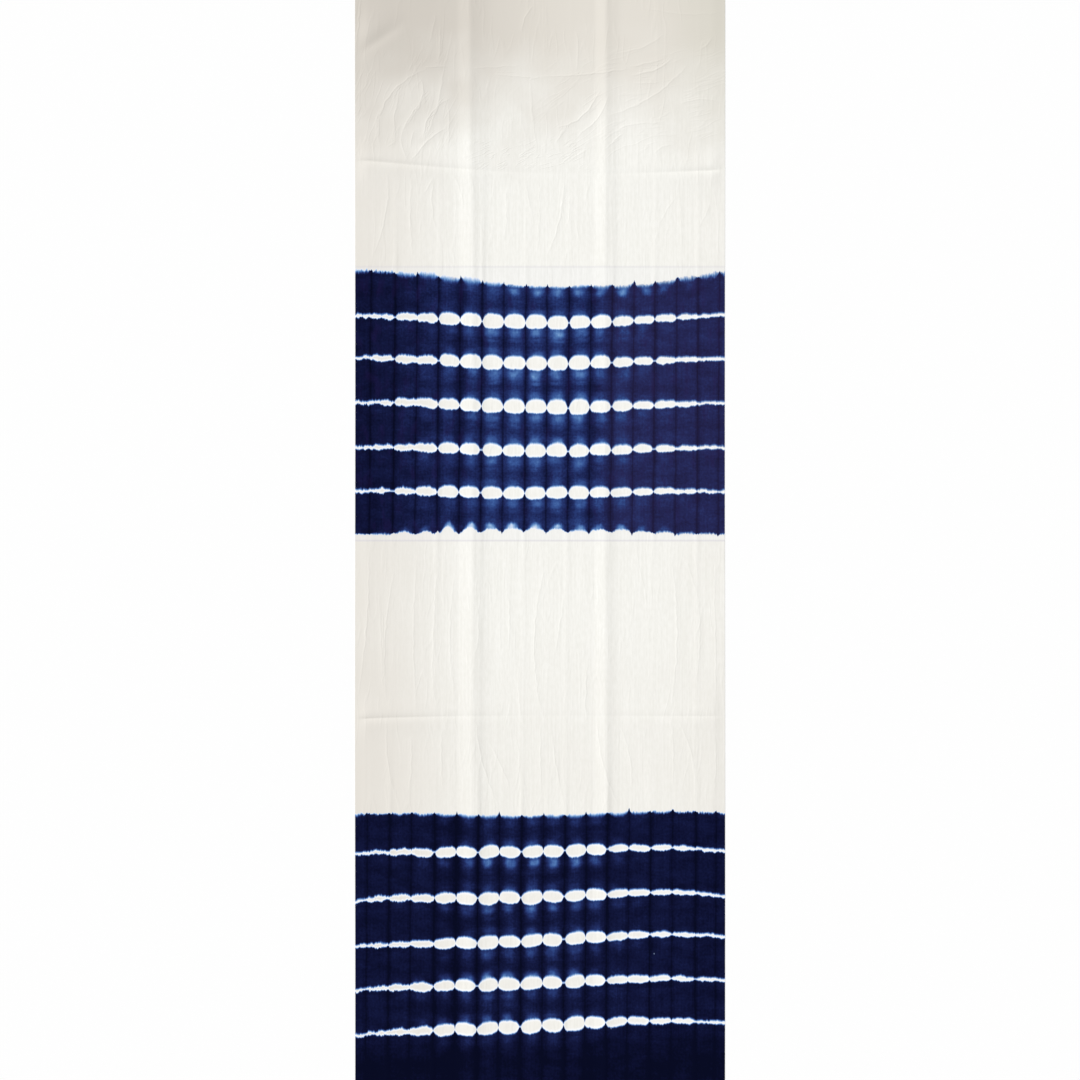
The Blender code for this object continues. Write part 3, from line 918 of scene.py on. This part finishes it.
def set_ramp(ramp, stops):
    """A colour ramp with these stops, the first and last on its own two."""
    for position, colour in stops[1:-1]:
        ramp.elements.new(position).color = paint(*colour)
    for element, (position, colour) in zip(ramp.elements, stops):
        element.position, element.color = position, paint(*colour)


def speck_share(w, across, along, spacing, chosen_share, radius):
    """A small round spot in some cells of a Voronoi pattern. Spacing and radius are in mm."""
    inputs = {"Vector": w.vector(across, w.times(along, 0.7)), "Scale": 1.0 / spacing}
    cells = w.node("TexVoronoi", inputs)
    size = w.times(cells.outputs["Distance"], spacing)
    chosen = w.math("LESS_THAN", w.parts(cells.outputs["Color"])[0], chosen_share)
    return w.times(chosen, w.smooth(size, radius, 0.4 * radius))


def cotton_colour(w, across, along, streak):
    """Undyed cotton: darker and greyer at the upper end by painted shade, warmer at the sides, with
    streaks, specks and tide lines.

    Above the upper band and below it, the cloth is bluer up to a tide line where the bath stood.
    """
    flat = w.vector(across, along)
    cloudy = w.noise(flat, scale=0.02, detail=2.0)
    clean = w.tint(w.smooth(streak, -0.35, 0.35), paint(235, 234, 228), paint(243, 242, 237))
    side = w.add(w.smooth(across, -40.0, -175.0, 0.0, 0.72), w.smooth(across, 90.0, 175.0, 0.0, 0.2))
    side = w.add(side, w.smooth(along, -40.0, -230.0, 0.0, 0.22), w.times(cloudy, 0.12))
    clean = w.tint(side, clean, paint(222, 217, 209))
    # Painted shade: the cotton turns darker and greyer towards the upper end, most on the left.
    upper = w.tint(w.smooth(across, -125.0, 50.0), paint(204, 198, 189), paint(221, 216, 207))
    upper = w.tint(w.smooth(across, 95.0, 170.0), upper, paint(213, 209, 198))
    rise = w.add(along, w.times(cloudy, 45.0), w.times(streak, 8.0))
    colour = w.tint(w.smooth(rise, 325.0, 485.0), clean, upper)
    above = w.times(w.smooth(along, 251.5, 249.5), w.smooth(along, 200.0, 210.0))
    below = w.times(w.smooth(along, -0.5, 0.5), w.smooth(along, 30.0, 20.0))
    colour = w.tint(w.times(w.add(above, below), 0.14), colour, paint(228, 231, 240))
    wavering = w.add(along, w.times(streak, 0.6))
    tide = w.smooth(w.apart(wavering, -0.6), 1.3, 0.2, 0.0, 0.5)
    faint_tide = w.smooth(w.apart(wavering, 251.0), 1.6, 0.2, 0.0, 0.3)
    colour = w.tint(w.highest(tide, faint_tide), colour, paint(208, 205, 214))
    specks = speck_share(w, across, along, 38.0, 0.3, 0.9)
    return w.tint(w.times(specks, 0.55), colour, paint(128, 108, 84))


def new_material(name):
    """A material with nodes, and its shader."""
    material = bpy.data.materials.new(name)
    material.use_nodes = True
    return material, material.node_tree.nodes["Principled BSDF"]


def cloth_material():
    """Cotton and indigo mixed by the dye's masks, with threads, creases and fine wrinkles as bump."""
    material, shader = new_material("indigo dyed cotton")
    w = Wiring(material.node_tree)
    pattern, blobs, halos, creases, top_edge, bottom_edge = (
        w.attribute(name)
        for name in ("pattern", "blobs", "halos", "creases", "top_edge", "bottom_edge"))
    place = w.parts(w.node("TexCoord").outputs["Object"])
    across, along = w.times(place[0], 1.0 / MM), w.times(place[1], 1.0 / MM)
    flat = w.vector(across, along)
    weave = use_group(w, weave_group(), {"Across": across, "Along": along})
    fibre = weave["Fibre"]

    pleat = w.add(pattern[0], w.times(w.noise(flat, scale=0.035, detail=1.0), 0.05))
    row = w.add(pattern[1], w.times(w.noise(flat, scale=0.06, detail=1.0), 0.022))
    fullness = pattern[2]
    blotch = w.noise(flat, scale=0.11, detail=1.0)
    stitched = use_group(w, blobs_group(), {
        "Pleat": pleat, "Row": row, "Fullness": fullness, "Pinch": halos[2], "Above": blobs[0],
        "Below": blobs[1], "Halo Above": halos[0], "Halo Below": halos[1], "Streak": fibre,
        "Blotch": blotch})
    edge = band_edge_group()
    gap = LINE_GAP / MM
    middling = w.smooth(fullness, 0.3, 0.95)
    shared = {"Pleat": pleat, "Streak": fibre, "Blotch": blotch, "Halo Start": -1.5, "Halo Length": 14.0,
              "Halo Taper": 0.01}
    top = use_group(w, edge, {
        **shared, "Inside": w.less(w.times(w.less(row, 2.0), gap), w.add(top_edge[0], -0.8)),
        "Seed": 1.0, "Spike": w.mix(middling, 1.8, 3.0), "Dome": 0.8, "Fringe": top_edge[1],
        "Fuzz": w.mix(middling, 3.2, 1.8), "Halo Strength": top_edge[2], "Halo Width": 0.47})
    bottom = use_group(w, edge, {
        **shared, "Inside": w.times(w.less(8.0, row), gap), "Seed": 2.0, "Spike": 0.6,
        "Dome": bottom_edge[0], "Fringe": 3.2, "Fuzz": 1.8, "Halo Strength": bottom_edge[1],
        "Halo Start": -3.0, "Halo Length": 10.0, "Halo Width": 0.44, "Halo Taper": 0.02})
    lower = use_group(w, edge, {
        **shared, "Inside": w.times(w.less(row, 14.0), gap), "Seed": 3.0,
        "Spike": w.mix(middling, 0.8, 2.8), "Dome": w.mix(middling, 1.3, 1.8),
        "Fringe": w.mix(middling, 4.5, 6.5), "Fuzz": w.mix(middling, 2.6, 1.4),
        "Halo Strength": w.times(middling, 0.13), "Halo Width": 0.5})
    upper_band = w.math("MINIMUM", top["Dye"], bottom["Dye"])
    in_band = w.smooth(w.highest(upper_band, lower["Dye"]), 0.0, 1.0)

    to_fold = w.times(w.math("PINGPONG", pleat, 0.5), PLEAT_PITCH / MM)
    wide = w.math("PINGPONG", pleat, 1.0)
    fold_line = w.smooth(to_fold, 1.1, 0.2)
    fold_shade = w.times(w.smooth(to_fold, 4.0, 0.0), w.mix(wide, 0.5, 1.0))
    mottle = w.noise(w.vector(w.times(across, 0.05), w.times(along, 0.09), 2.0), detail=3.0)
    fine_mottle = w.noise(flat, scale=0.45, detail=3.0, roughness=0.65)
    middle_share = w.smooth(fullness, 0.55, 1.0)
    pleat_middle = w.times(w.smooth(to_fold, 2.0, 8.5), middle_share,
                           w.smooth(row, 19.2, 19.8, 1.0, 0.35))
    in_upper_band = w.smooth(pattern[1], 9.0, 11.0, 1.0, 0.0)
    depth = w.add(
        blobs[2], w.times(fold_line, w.mix(in_upper_band, 0.07, 0.11)), w.times(fold_shade, 0.10),
        w.times(weave["Warp"], 0.07), w.times(weave["Weft"], 0.04), w.times(mottle, 0.16),
        w.times(fine_mottle, 0.17), w.times(pleat_middle, -0.085),
        w.times(stitched["Between"], middle_share, 0.05))
    edge_halo = w.highest(top["Halo"], lower["Halo"], bottom["Halo"])
    blob_halo = w.math("MINIMUM", stitched["Halo"], 0.86)
    halo = w.math("MINIMUM", w.highest(blob_halo, edge_halo), 1.05)
    depth = w.times(depth, w.less(1.0, w.times(halo, 0.78)))
    dyed = w.times(in_band, w.less(1.0, stitched["Undyed"]))
    dye = w.node("ValToRGB", {0: w.times(depth, dyed, 1.0 / DYE_FULL_SCALE)})
    set_ramp(dye.color_ramp, DYE_COLOURS)

    cotton = cotton_colour(w, across, along, w.mix(0.5, weave["Warp"], fibre))
    rim = w.times(in_band, w.less(1.0, stitched["Core"]))
    cotton = w.tint(w.times(rim, 0.8), cotton, paint(246, 248, 252))
    drawn_out = w.vector(w.times(across, 0.13), w.times(along, 0.045), 6.0)
    purple = w.times(w.smooth(w.noise(drawn_out, detail=3.0), 0.0, 0.4, 0.0, 0.3), in_upper_band)
    indigo = w.tint(w.times(purple, w.smooth(depth, 0.8, 1.0)), dye.outputs["Color"], paint(32, 22, 70))
    warm_right = w.times(w.smooth(across, 40.0, 75.0, 0.0, 0.2), in_upper_band)
    indigo = w.tint(w.times(warm_right, w.smooth(depth, 0.75, 0.95)), indigo, paint(58, 47, 86))
    flecks = speck_share(w, across, along, 13.0, 0.10, 0.7)
    indigo = w.tint(w.times(flecks, 0.5), indigo, paint(150, 168, 205))
    colour = w.tint(w.smooth(dyed, 0.0, 0.12), cotton, indigo)
    w.put(shader.inputs["Base Color"], colour)
    w.put(shader.inputs["Roughness"], w.smooth(weave["Height"], -1.0, 1.0, 0.96, 0.84))
    to_crest = w.apart(w.add(creases[0], w.times(blotch, 1.6)))
    crest = w.times(w.smooth(to_crest, CREST_WIDTH, 0.0), creases[1])
    height = w.add(crest, wrinkle_height(w, across, along), w.times(weave["Height"], 0.004))
    bump = w.node("Bump", {"Strength": 1.0, "Distance": MM, "Height": height})
    w.put(shader.inputs["Normal"], bump.outputs["Normal"])
    shader.inputs["Specular IOR Level"].default_value = 0.03
    return material


def make_floor():
    """A wide pale floor at height 0, which the cloth lies on."""
    bpy.ops.mesh.primitive_plane_add(size=8.0, location=(0.0, 0.0, 0.0))
    floor = bpy.context.object
    floor.name = "floor"
    material, shader = new_material("pale floor")
    shader.inputs["Base Color"].default_value = (0.93, 0.93, 0.93, 1.0)
    shader.inputs["Roughness"].default_value = 0.9
    shader.inputs["Specular IOR Level"].default_value = 0.1
    floor.data.materials.append(material)
    return floor


# Light and camera. The lamp is a broad soft one from the upper left, over an even white room.
LAMP_HEIGHT_ANGLE = 42.0
LAMP_TURN = 150.0
LAMP_STRENGTH = 2.9
LAMP_SOFTNESS = 25.0
ROOM_STRENGTH = 0.45
VIEW_WIDTH = 0.9924
LENS = 85.0
SENSOR = 36.0


def make_light():
    """The lamp, and a room of even white light."""
    lamp = bpy.data.lights.new("studio lamp", "SUN")
    lamp.energy = LAMP_STRENGTH
    lamp.angle = math.radians(LAMP_SOFTNESS)
    holder = put_in_scene("studio lamp", lamp)
    tilt, turn = math.radians(90.0 - LAMP_HEIGHT_ANGLE), math.radians(LAMP_TURN)
    holder.rotation_euler = (tilt, 0.0, turn + math.pi / 2)
    room = bpy.data.worlds.new("studio room")
    room.use_nodes = True
    background = room.node_tree.nodes["Background"]
    background.inputs["Color"].default_value = (1.0, 1.0, 1.0, 1.0)
    background.inputs["Strength"].default_value = ROOM_STRENGTH
    bpy.context.scene.world = room


def make_camera():
    """Straight above the middle of the sheet, as far off as the lens needs to see VIEW_WIDTH."""
    lens = bpy.data.cameras.new("camera")
    lens.lens = LENS
    lens.sensor_width = SENSOR
    camera = put_in_scene("camera", lens)
    camera.location = (0.0, 0.0, VIEW_WIDTH * LENS / SENSOR)
    bpy.context.scene.camera = camera


bpy.context.scene.view_settings.view_transform = "Standard"
make_camera()
make_light()
make_floor()
cloth = make_cloth()
cloth.data.materials.append(cloth_material())
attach(cloth, "root")
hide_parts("cloth")
